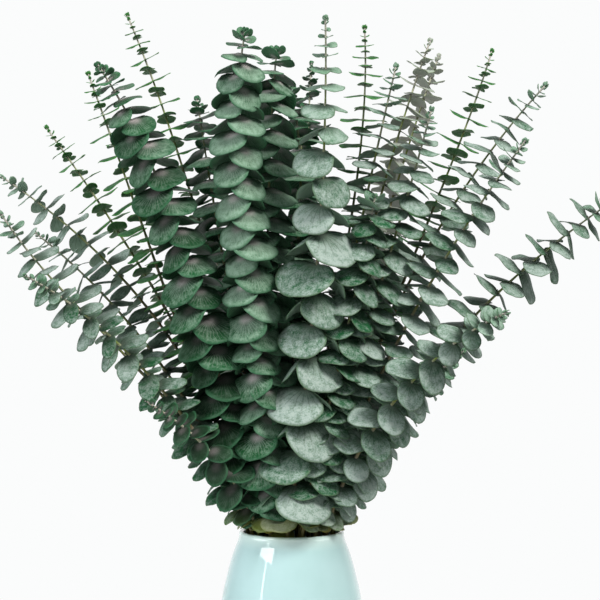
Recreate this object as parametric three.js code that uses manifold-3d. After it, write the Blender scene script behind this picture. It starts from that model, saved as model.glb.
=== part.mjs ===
// A glazed vase that holds thirty branches of round-leaved eucalyptus, in mm.
// The origin is at the middle of the vase's flat foot, +Z is up and -Y is the front.
import * as THREE from "three";
import { mergeVertices } from "three/addons/utils/BufferGeometryUtils.js";
import Module from "manifold-3d";

const wasm = await Module();
wasm.setup();

// The vase: its outer side from the foot to the lip, as [radius, height].
const vaseSide = [
  [45, 2.5],
  [54, 38],
  [61, 78],
  [63, 108],
  [59.5, 150],
  [55.5, 170],
  [51, 187],
  [45.5, 202],
];
const vaseHeight = 210;
const lipRadius = 41.5;
const footRadius = 43;
const wall = 4.5;
const floorThickness = 9;
const floorSlope = 4;
const turns = 32;

// The water in it, and the room round whatever touches.
const waterLevel = 122;
const gap = 0.35;
const innerHeights = [15, 45, 80, 105, waterLevel, 150, 178, 201];

// The branches. Each stands at its neck, the place [x, y] where it passes the vase's mouth.
// It then follows one smooth curve by its rise and its bend to its tip, each [x, y, z].
// Then come its full leaf length, the angle of its first leaf pair from the front, and how far its
// grown leaves hang below the square to the stem, in degrees. The last three are shares: the pairs'
// spacing by the usual one, how slowly its leaves lengthen, and a leaf's width by its length.
const neckHeight = 208;
const footSpread = 0.8;
const branches = [
  [[-27, 19], [-70, 25, 340], [-135, 40, 435], [-258, 60, 515], 26, 60, 12, 0.88, 1.0, 0.62],
  [[-33, 10], [-80, 10, 320], [-145, 15, 405], [-222, 20, 464], 27, 35, 15, 0.82, 1.0, 0.62],
  [[-35, -1], [-85, -10, 330], [-185, -35, 390], [-236, -60, 476], 28, 70, 15, 0.82, 1.0, 0.64],
  [[-31, -12], [-75, -25, 305], [-145, -75, 390], [-204, -130, 424], 26, 30, 20, 0.82, 1.0, 0.62],
  [[-20, 28], [-70, 50, 342], [-151, 85, 464], [-223, 90, 562], 24, 85, 0, 0.85, 1.5, 0.78],
  [[-22, 5], [-80, 5, 320], [-120, 0, 455], [-173, 0, 598], 23, 80, 8, 0.8, 1.5, 0.76],
  [[-21, -11], [-65, -20, 320], [-80, -50, 485], [-155, -80, 594], 35, 50, 42, 0.7, 0.9, 1.18],
  [[-12, 33], [-41, 55, 335], [-96, 80, 540], [-149, 85, 663], 23, 88, 0, 0.9, 1.5, 0.78],
  [[-11, 16], [-40, 20, 320], [-70, 45, 495], [-85, 70, 586], 32, 20, 32, 0.65, 0.8, 1.1],
  [[-12, -20], [-25, -24, 381], [-19, -35, 546], [-12, -30, 615], 31, 40, 40, 0.72, 0.45, 1.18],
  [[-17, -30], [-24, -38, 381], [-56, -65, 527], [-36, -90, 620], 31, 45, 46, 0.74, 0.5, 1.2],
  [[-4, -8], [-20, 0, 340], [30, 20, 510], [-5, 40, 596], 33, 30, 32, 0.66, 0.7, 1.1],
  [[-1, 7], [-5, 20, 320], [10, 65, 495], [9, 110, 584], 30, 10, 24, 0.8, 1.4, 1.0],
  [[5, 22], [7, 40, 335], [12, 115, 525], [18, 150, 629], 25, 70, 12, 0.9, 1.6, 0.8],
  [[-4, -34], [20, -45, 375], [30, -75, 520], [27, -110, 626], 45, 42, 50, 1.25, 2.0, 1.16],
  [[8, 34], [18, 50, 335], [73, 65, 507], [64, 50, 646], 24, 90, 0, 0.85, 1.5, 0.8],
  [[6, -20], [30, -20, 340], [65, -10, 505], [89, 0, 605], 29, 60, 18, 0.78, 1.1, 0.85],
  [[8, -32], [30, -38, 325], [60, -50, 430], [68, -60, 490], 27, 35, 36, 0.75, 0.3, 1.0],
  [[9, -5], [35, 5, 335], [75, 30, 510], [123, 60, 636], 27, 75, 14, 0.85, 1.3, 0.76],
  [[14, 13], [40, 35, 335], [95, 105, 520], [141, 180, 641], 27, 30, 14, 0.85, 1.3, 0.74],
  [[19, -27], [40, -30, 325], [85, -40, 445], [115, -50, 562], 29, 40, 28, 0.78, 1.1, 0.9],
  [[28, 19], [46, 35, 327], [142, 75, 504], [180, 80, 630], 25, 85, 0, 0.9, 1.5, 0.78],
  [[22, 2], [50, 5, 330], [115, 5, 480], [218, 10, 590], 30, 50, 16, 0.85, 1.0, 0.8],
  [[20, -13], [55, -20, 320], [120, -45, 440], [189, -70, 534], 30, 65, 20, 0.85, 1.0, 0.82],
  [[34, 4], [80, 0, 335], [195, -10, 440], [275, -20, 492], 33, 62, 16, 0.76, 0.7, 0.7],
  [[28, -20], [50, -35, 300], [120, -85, 375], [165, -140, 396], 31, 60, 28, 0.85, 1.1, 0.8],
  [[33, -8], [60, -15, 280], [105, -35, 335], [140, -60, 364], 32, 40, 45, 0.85, 1.2, 0.8],
  [[-26, -22], [-45, -32, 265], [-80, -52, 300], [-116, -85, 325], 29, 45, 30, 0.85, 1.4, 0.85],
  [[-3, 27], [-20, 40, 290], [-60, 95, 380], [-75, 150, 462], 31, 50, 35, 0.75, 1.0, 1.1],
  [[18, 27], [25, 45, 290], [70, 110, 380], [104, 180, 464], 31, 40, 35, 0.75, 1.2, 1.1],
].map(([neck, rise, bend, tip, leaf, turn, hang, spacing, slow, width]) => {
  const path = { neck, rise, bend, tip };
  return { ...path, leaf, turn, hang, spacing, slow, width };
});

// The stems have four flat sides, and taper from foot to tip.
const stemSides = 4;
const footStemRadius = 2.4;
const tipStemRadius = 1.1;

// The leaves: their thickness, the room left round them, how deep a root goes in stem radii,
// and what share of a leaf's hang its first part takes.
const leafThickness = 0.8;
const leafGap = 0.5;
const rootDepth = 0.34;
const firstHang = 0.2;
const archOfBlade = 0.16;
const largeLeaf = 25;

// The pairs: where the first is from the tip, how many natural steps lie between two,
// a natural step's length by its leaf, and where the stem's own point lies.
const pairs = { first: 8, steps: 4.75, least: 5, byLeaf: 0.38, stemPoint: 0.09 };
const lowestPair = 232;

// How a leaf grows: how high it stands when young on a branch that hangs its leaves by fullRise or more,
// where it starts and ends to sink, and how far its hang and its turn stray, in degrees.
const growth = { rise: 16, fullRise: 12, sinkFrom: 8, sunkAt: 60, strayHang: 8, strayTurn: 10 };

const seeded = (seed) => () => {
  seed = (seed + 0x6d2b79f5) | 0;
  let t = Math.imul(seed ^ (seed >>> 15), 1 | seed);
  t = (t + Math.imul(t ^ (t >>> 7), 61 | t)) ^ t;
  return ((t ^ (t >>> 14)) >>> 0) / 4294967296;
};
const vector = (list) => new THREE.Vector3(...list);
const radians = THREE.MathUtils.degToRad;

// Closed triangles to a solid for joins and cuts, and back.
function toSolid(geometry) {
  const bare = geometry.clone();
  bare.deleteAttribute("normal");
  bare.deleteAttribute("uv");
  const merged = mergeVertices(bare, 1e-4);
  return new wasm.Manifold(
    new wasm.Mesh({
      numProp: 3,
      vertProperties: Float32Array.from(merged.attributes.position.array),
      triVerts: Uint32Array.from(merged.index.array),
    }),
  );
}

function toGeometry(solid) {
  const mesh = solid.getMesh();
  const geometry = new THREE.BufferGeometry();
  geometry.setAttribute("position", new THREE.BufferAttribute(Float32Array.from(mesh.vertProperties), 3));
  geometry.setIndex(new THREE.BufferAttribute(Uint32Array.from(mesh.triVerts), 1));
  geometry.computeVertexNormals();
  return geometry;
}

// Solids joined as one. A hollow that the join closes off comes apart from the rest, and is filled.
function joined(solids) {
  const shells = wasm.Manifold.union(solids).decompose();
  return shells.reduce((most, shell) => (shell.volume() > most.volume() ? shell : most));
}

function indexed(points, faces) {
  const geometry = new THREE.BufferGeometry();
  geometry.setAttribute("position", new THREE.Float32BufferAttribute(points.flatMap((p) => p.toArray()), 3));
  geometry.setIndex(faces.flat());
  return geometry;
}

// The sideways and forward directions square to a stem that runs along a direction.
function squareTo(along) {
  const side = new THREE.Vector3(0, -1, 0).cross(along).normalize();
  return { side, front: along.clone().cross(side) };
}

// A tapered rod with flat ends through a list of points. Its flat sides face turn, in degrees from the front,
// and every quarter turn from there, as the leaves do.
function rod(points, radii, turn) {
  const corners = [];
  points.forEach((point, i) => {
    const before = points[Math.max(i - 1, 0)];
    const after = points[Math.min(i + 1, points.length - 1)];
    const along = after.clone().sub(before).normalize();
    const { side, front } = squareTo(along);
    for (let k = 0; k < stemSides; k += 1) {
      const angle = radians(turn) - (2 * Math.PI * (k + 0.5)) / stemSides;
      corners.push(
        point
          .clone()
          .addScaledVector(front, radii[i] * Math.cos(angle))
          .addScaledVector(side, radii[i] * Math.sin(angle)),
      );
    }
  });
  const faces = [];
  for (let i = 0; i < points.length - 1; i += 1) {
    for (let k = 0; k < stemSides; k += 1) {
      const a = i * stemSides + k;
      const b = i * stemSides + ((k + 1) % stemSides);
      faces.push([a, b, b + stemSides], [a, b + stemSides, a + stemSides]);
    }
  }
  const last = (points.length - 1) * stemSides;
  for (let k = 1; k < stemSides - 1; k += 1) {
    faces.push([0, k + 1, k], [last, last + k, last + k + 1]);
  }
  return indexed(corners, faces);
}

// The outline of half a blade as [along, across], from its root to its end. The first is
// in leaf lengths and the second in leaf widths.
const smallLeafHalf = [
  [0.34, 0.5],
  [0.94, 0.33],
];
const largeLeafHalf = [
  [0.32, 0.5],
  [0.78, 0.46],
  [1.0, 0],
];

// A thin arched blade, split alike on both faces.
// It leaves its root in the direction first, and past its shoulders it bends to the direction along.
// grown is added all round for the room that the blade needs.
function blade({ root, first, along, normal, length, width }, grown = 0) {
  const half = length > largeLeaf ? largeLeafHalf : smallLeafHalf;
  const shoulder = half[0][0];
  const across = normal.clone().cross(along);
  const thick = leafThickness / 2 + grown;
  const firstNormal = first.clone().cross(across).normalize();
  const place = (u, v, rise) =>
    root
      .clone()
      .addScaledVector(first, Math.min(u, shoulder) * length - grown)
      .addScaledVector(along, Math.max(u - shoulder, 0) * length + 2 * grown * u)
      .addScaledVector(across, v * width * length + grown * Math.sign(v))
      .addScaledVector(u > shoulder ? normal : firstNormal, rise)
      .addScaledVector(normal, -archOfBlade * Math.abs(v) * length);
  const back = [...half].reverse().filter(([, v]) => v > 0);
  const outline = [[0, 0], ...half.map(([u, v]) => [u, -v]), ...back];
  const size = outline.length;
  const face = (rise) => outline.map(([u, v]) => place(u, v, rise));
  const corners = [...face(thick), ...face(-thick)];
  // A point at the root, then strips across the blade to its end.
  const strips = [[0, 1, size - 1]];
  for (let i = 1; i < size - 1 - i; i += 1) {
    const [a, b, c, d] = [i, i + 1, size - 1 - i, size - i];
    strips.push([a, b, d]);
    if (b < c) strips.push([b, c, d]);
  }
  const faces = [];
  strips.forEach(([a, b, c]) => faces.push([a, b, c], [a + size, c + size, b + size]));
  for (let i = 0; i < size; i += 1) {
    const next = (i + 1) % size;
    faces.push([i, i + size, next + size], [i, next + size, next]);
  }
  return toSolid(indexed(corners, faces));
}

// The path of a branch from its foot to its tip, its radius at each point, and its leaf pairs.
// The path has a point just below each pair.
function pathOf(branch) {
  const neck = vector([...branch.neck, neckHeight]);
  const foot = vector([branch.neck[0] * footSpread, branch.neck[1] * footSpread, floorThickness + gap]);
  const [rise, bend, tip] = [branch.rise, branch.bend, branch.tip].map(vector);
  const curve = new THREE.CubicBezierCurve3(neck, rise, bend, tip);
  const length = curve.getLength();
  const whole = length + neck.distanceTo(foot);
  const radiusAt = (fromTip) => THREE.MathUtils.lerp(tipStemRadius, footStemRadius, fromTip / whole);
  const points = [tip];
  const radii = [tipStemRadius];
  const leafPairs = [];
  let fromTip = pairs.first;
  while (curve.getPointAt(1 - fromTip / length).z > lowestPair) {
    const size = leafLength(branch, fromTip);
    const step = pairs.steps * (pairs.least + pairs.byLeaf * size) * branch.spacing;
    const below = fromTip + pairs.stemPoint * step;
    const bow = curve.getPointAt(1 - below / length);
    const above = points[points.length - 1];
    const along = above.clone().sub(bow).normalize();
    const point = bow.clone().addScaledVector(along, pairs.stemPoint * step);
    leafPairs.push({ point, size, fromTip, along, radius: radiusAt(fromTip) });
    points.push(bow);
    radii.push(radiusAt(below));
    fromTip += step;
  }
  points.push(neck, foot);
  radii.push(radiusAt(length), footStemRadius);
  return { points: points.reverse(), radii: radii.reverse(), leafPairs };
}

// Leaves are small at the tip and reach their full length further down.
function leafLength(branch, fromTip) {
  return branch.leaf * (1 - Math.exp(-fromTip / (branch.slow * branch.leaf)));
}

// Ways to turn a leaf that would cross another branch: [hang, turn, length].
const tries = [
  [0, 0, 1],
  [25, 0, 1],
  [-25, 0, 1],
  [0, 25, 1],
  [0, -25, 1],
  [35, 0, 0.8],
  [-40, 0, 0.8],
  [10, 35, 0.75],
  [10, -35, 0.75],
  [45, 0, 0.62],
  [-55, 0, 0.62],
];

// Where a leaf of a pair starts and how it lies. way is 0 or 1, for the pair's two leaves.
function leafPose(branch, pair, number, way, [moreHang, moreTurn, scale], draw) {
  const sunk = THREE.MathUtils.smoothstep(pair.fromTip, growth.sinkFrom, growth.sunkAt * branch.slow);
  const rise = growth.rise * Math.min(1, branch.hang / growth.fullRise);
  const ownHang = THREE.MathUtils.lerp(-rise, branch.hang, sunk);
  const hang = radians(ownHang + moreHang + growth.strayHang * draw[0]);
  const turn = radians(branch.turn + 90 * number + 180 * way + moreTurn + growth.strayTurn * draw[1]);
  const { side, front } = squareTo(pair.along);
  const out = front.multiplyScalar(Math.cos(turn)).addScaledVector(side, Math.sin(turn));
  const leaning = (angle) =>
    out.clone().multiplyScalar(Math.cos(angle)).addScaledVector(pair.along, -Math.sin(angle));
  const along = leaning(hang);
  const first = leaning(hang * firstHang);
  const normal = pair.along.clone().addScaledVector(along, -pair.along.dot(along)).normalize();
  const root = pair.point.clone().addScaledVector(out, (Math.SQRT1_2 - rootDepth) * pair.radius);
  return { root, first, along, normal, length: pair.size * scale, width: branch.width };
}

function nearPath(points, centre, reach) {
  const nearest = new THREE.Vector3();
  return points.some((point, i) => {
    if (i === 0) return false;
    new THREE.Line3(points[i - 1], point).closestPointToPoint(centre, true, nearest);
    return nearest.distanceTo(centre) < reach;
  });
}

// A profile is turned about Y, and the solid is then stood up along Z.
const roundVase = (profile) => new THREE.LatheGeometry(profile, turns).rotateX(Math.PI / 2);
const sideCurve = new THREE.SplineCurve(vaseSide.map(([r, z]) => new THREE.Vector2(r, z)));
const outerSide = sideCurve.getPoints(7);

function makeVase() {
  const lip = [
    [44, 207.5],
    [43, 209.4],
    [lipRadius, vaseHeight],
    [lipRadius - 1.8, 209],
  ].map(([r, z]) => new THREE.Vector2(r, z));
  const inner = innerSide(wall, vaseHeight).reverse();
  const profile = [
    new THREE.Vector2(0, 0),
    new THREE.Vector2(footRadius, 0),
    ...outerSide,
    ...lip,
    ...inner,
    new THREE.Vector2(0, floorThickness),
  ];
  return toSolid(roundVase(profile));
}

// The inside follows the outside at a few heights, with a small slope round the floor.
function innerSide(inset, top) {
  const fine = sideCurve.getPoints(90);
  const radiusAt = (height) => fine.find((point) => point.y >= height).x;
  const heights = innerHeights.filter((height) => height <= top);
  const side = heights.map((height) => new THREE.Vector2(radiusAt(height) - inset, height));
  return [new THREE.Vector2(side[0].x - floorSlope, floorThickness + inset - wall), ...side];
}

function makeWater() {
  const side = innerSide(wall + gap, waterLevel);
  const profile = [
    new THREE.Vector2(0, side[0].y),
    ...side,
    new THREE.Vector2(0, waterLevel),
  ];
  return toSolid(roundVase(profile));
}

const finish = {
  glaze: { color: "#bfe3e0", roughness: 0.12, metalness: 0 },
  water: { color: "#dbe9e6", roughness: 0.05, metalness: 0 },
  leaves: { color: "#6f9484", roughness: 0.62, metalness: 0 },
};

function named(name, solid, look) {
  const mesh = new THREE.Mesh(toGeometry(solid), new THREE.MeshStandardMaterial(look));
  mesh.name = name;
  return mesh;
}

// Each branch keeps its path, its stem and its leaves. Leaves are set pair by pair from
// the tips down, on every branch in turn, so that no branch takes all the room.
function makeBranches(vase) {
  const grown = branches.map((branch, number) => {
    const { points, radii, leafPairs } = pathOf(branch);
    const stem = toSolid(rod(points, radii, branch.turn));
    return { branch, number, points, leafPairs, stem, blades: [], draw: seeded(101 + number) };
  });
  const placed = [];
  const clear = (owner, room, centre, reach) => {
    const blocked = placed.some(
      (other) =>
        other.owner !== owner &&
        other.centre.distanceTo(centre) < reach + other.reach &&
        !room.intersect(other.solid).isEmpty(),
    );
    if (blocked) return false;
    if (centre.z - reach < vaseHeight && !room.intersect(vase).isEmpty()) return false;
    return grown.every(
      (other) =>
        other === owner || !nearPath(other.points, centre, reach + 4) || room.intersect(other.stem).isEmpty(),
    );
  };
  const mostPairs = Math.max(...grown.map((one) => one.leafPairs.length));
  for (let rank = 0; rank < mostPairs; rank += 1) {
    for (const owner of grown.filter((one) => rank < one.leafPairs.length)) {
      const pair = owner.leafPairs[rank];
      for (const way of [0, 1]) {
        const draw = [owner.draw() - 0.5, owner.draw() - 0.5];
        for (const change of tries) {
          const pose = leafPose(owner.branch, pair, rank, way, change, draw);
          const centre = pose.root.clone().addScaledVector(pose.along, pose.length / 2);
          const reach = pose.length * 0.66 + leafGap;
          const room = blade(pose, leafGap);
          if (!clear(owner, room, centre, reach)) continue;
          const solid = blade(pose);
          placed.push({ owner, solid, centre, reach });
          owner.blades.push(solid);
          break;
        }
      }
    }
  }
  return grown;
}

const vase = makeVase();
const grownBranches = makeBranches(vase);
let water = makeWater();
grownBranches.forEach(({ branch, points }) => {
  const [foot, neck] = points;
  const low = foot.clone().lerp(neck, -0.05);
  const hole = footStemRadius + 1.5 * gap;
  water = water.subtract(toSolid(rod([low, neck], [hole, hole], branch.turn)));
});

const bouquet = new THREE.Group();
bouquet.add(named("vase", vase, finish.glaze));
bouquet.add(named("water", water, finish.water));
grownBranches.forEach(({ number, stem, blades }) => {
  const name = `branch_${String(number + 1).padStart(2, "0")}`;
  bouquet.add(named(name, joined([stem, ...blades]), finish.leaves));
});

export default bouquet;
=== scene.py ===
import bpy
import math
import numpy as np
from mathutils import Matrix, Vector


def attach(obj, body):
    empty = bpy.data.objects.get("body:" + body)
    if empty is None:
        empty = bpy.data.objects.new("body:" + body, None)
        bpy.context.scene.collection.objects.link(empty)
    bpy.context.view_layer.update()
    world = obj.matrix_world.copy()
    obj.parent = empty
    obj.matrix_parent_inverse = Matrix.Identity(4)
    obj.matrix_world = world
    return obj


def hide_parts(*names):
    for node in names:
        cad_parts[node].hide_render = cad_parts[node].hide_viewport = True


# A glazed vase with thirty branches of round-leaved eucalyptus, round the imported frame.
# Every length below is in mm, and mm turns it to Blender's metres.

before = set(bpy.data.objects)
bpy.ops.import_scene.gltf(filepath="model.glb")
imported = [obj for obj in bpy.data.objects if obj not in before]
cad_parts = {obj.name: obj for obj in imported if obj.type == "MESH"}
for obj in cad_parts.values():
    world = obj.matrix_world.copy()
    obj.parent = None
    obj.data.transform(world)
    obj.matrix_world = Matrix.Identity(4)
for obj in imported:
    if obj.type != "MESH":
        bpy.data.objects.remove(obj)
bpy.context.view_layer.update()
mm = 0.001
scene = bpy.context.scene
print("frame loaded:", len(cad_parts), "nodes")

cameraSetup = {
    "place": (7.2, -1350, 405.5),
    "shownWidth": 510,  # across the picture, at the vase's axis
    "sensor": 36,
}


def makeCamera():
    data = bpy.data.cameras.new("camera")
    data.sensor_width = cameraSetup["sensor"]
    data.lens = cameraSetup["sensor"] * -cameraSetup["place"][1] / cameraSetup["shownWidth"]
    data.clip_start = 0.05
    data.clip_end = 20
    camera = bpy.data.objects.new("camera", data)
    camera.location = Vector(cameraSetup["place"]) * mm
    camera.rotation_euler = (math.radians(90), 0, 0)
    scene.collection.objects.link(camera)
    scene.camera = camera


makeCamera()
scene.view_settings.view_transform = "Standard"
print("camera made")


def colour(hexText, alpha=1.0):
    # sRGB hex to the linear values that Blender mixes with
    parts = [int(hexText[i : i + 2], 16) / 255 for i in (1, 3, 5)]
    return tuple(p / 12.92 if p <= 0.04045 else ((p + 0.055) / 1.055) ** 2.4 for p in parts) + (alpha,)


def perMetre(lengthInMm):
    # a texture's scale for features of that real length
    return 1 / (lengthInMm * mm)


def addNode(tree, kind, settings=None, links=None):
    node = tree.nodes.new(kind)
    for key, value in (settings or {}).items():
        if isinstance(key, str) and hasattr(node, key):
            setattr(node, key, value)
        else:
            node.inputs[key].default_value = value
    for key, source in (links or {}).items():
        tree.links.new(source, node.inputs[key])
    return node


def newMaterial(name):
    material = bpy.data.materials.new(name)
    material.use_nodes = True
    return material, material.node_tree, material.node_tree.nodes["Principled BSDF"]


# Materials

# Eucalyptus leaf: a smooth green blade under a coat of wax that it grows itself. The wax scatters light, so
# the leaf looks grey and matt, with greener places where it has rubbed off. Round its root it is duller,
# partly its own tint and partly painted shade, with a pale star of veins. Its thin rim is greener, partly
# painted glow of back-light through the edge, its underside is paler, partly painted back-light, and the
# leaves low on the left carry painted shade.
# Each look's colour at the root is partly painted shade, its underside colour partly painted back-light, its
# rim colour partly painted glow of back-light through the edge, and its darkest colour both a dark leaf and
# painted shade.
waxedLeafLooks = {
    "waxedGreyLeaf": {
        "bare": "#1D5834",
        "wax": "#9FB0AA",
        "young": "#6A9A76",
        "undersideAndBacklight": "#7A9984",
        "deep": "#12301C",
        "rootTintAndShade": "#38523F",
        "star": "#B4B3AE",
        "rim": "#4C6C4A",
        "warm": "#8A8430",
        "vein": "#1F382A",
        "waxShare": 0.38,
        "gloss": 0.2,
        "rootTintAndShadeShare": 0.8,
        "starShare": 0.25,
        "rimFrom": 0.9,
        "rootAt": 0.08,
        "veins": 3.4,  # by the angle at the root, in radians
        "grain": 0.65,
    },
    "waxedRosyLeaf": {
        "bare": "#64806A",
        "wax": "#A9B1A9",
        "young": "#7B9A7C",
        "undersideAndBacklight": "#ABAFA7",
        "deep": "#12301C",
        "rootTintAndShade": "#8E8489",
        "star": "#C9BEC3",
        "rim": "#6C7F55",
        "warm": "#8A8430",
        "vein": "#8D9488",
        "waxShare": 0.36,
        "gloss": 0.15,
        "rootTintAndShadeShare": 0.55,
        "starShare": 0.7,
        "rimFrom": 0.9,
        "rootAt": 0.1,
        "veins": 4,
        "grain": 0.7,
    },
    "waxedGreenLeaf": {
        "bare": "#18502C",
        "wax": "#85A590",
        "young": "#4A8659",
        "undersideAndBacklight": "#346545",
        "deep": "#0C2413",
        "rootTintAndShade": "#4C5550",
        "star": "#E0D3D8",
        "rim": "#38684A",
        "warm": "#7C7A25",
        "vein": "#9FAFA3",
        "waxShare": 0.29,
        "gloss": 0.14,
        "rootTintAndShadeShare": 0.55,
        "starShare": 0.95,
        "rimFrom": 0.8,
        "rootAt": 0.28,
        "veins": 6,
        "grain": 0.45,
    },
    "freshGreenLeaf": {
        "bare": "#245C30",
        "wax": "#648C6A",
        "young": "#44803F",
        "undersideAndBacklight": "#316A34",
        "deep": "#0C2413",
        "rootTintAndShade": "#3F6A3A",
        "star": "#B9BF9A",
        "rim": "#4C8C3E",
        "warm": "#7C7A25",
        "vein": "#6F9F62",
        "waxShare": 0.2,
        "gloss": 0.05,
        "rootTintAndShadeShare": 0.3,
        "starShare": 0.5,
        "rimFrom": 0.8,
        "rootAt": 0.1,
        "veins": 4,
        "grain": 0.3,
    },
}
leafGrain = {
    "patch": 5,  # where the wax is thick or rubbed
    "speck": 1.2,  # grains of wax, drawn coarser than they are so that they show
    "waxRange": (0.32, 0.68),  # of the patch pattern, from rubbed to thick
    "waxSpread": (-0.42, 0.3),  # and what they add to a look's own share of wax
    "speckRange": (0.34, 0.66),
    "speckSpread": (-0.6, 0.1),
    "waxByLeaf": 0.7,
    "veinWidth": 0.15,
    "veinHeight": 0.14,
    "veinBend": 0.22,  # how far the patches push a vein aside
    "veinShare": 0.9,
    "veinReach": (0.1, 0.72),  # from the root, by the leaf's length
    "rootTintAndShadeReach": (0.1, 0.62),
    "starReach": (0.02, 0.3),
    "youngShare": 0.6,
    "youngReach": (0.15, 0.75),  # by a leaf's length over the branch's full leaf
    # The undersides are partly painted back-light, the dark colour partly painted shade, and the rim partly
    # painted glow of back-light through the edge.
    "undersideAndBacklightShare": 0.75,
    "deepShare": 0.75,
    "deepAt": -0.6,
    "rimTintAndGlowShare": 0.8,
    "roughness": (0.44, 0.64),
    "sheen": 0.02,
    "sheenRoughness": 0.5,
    "ior": 1.45,
}


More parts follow.
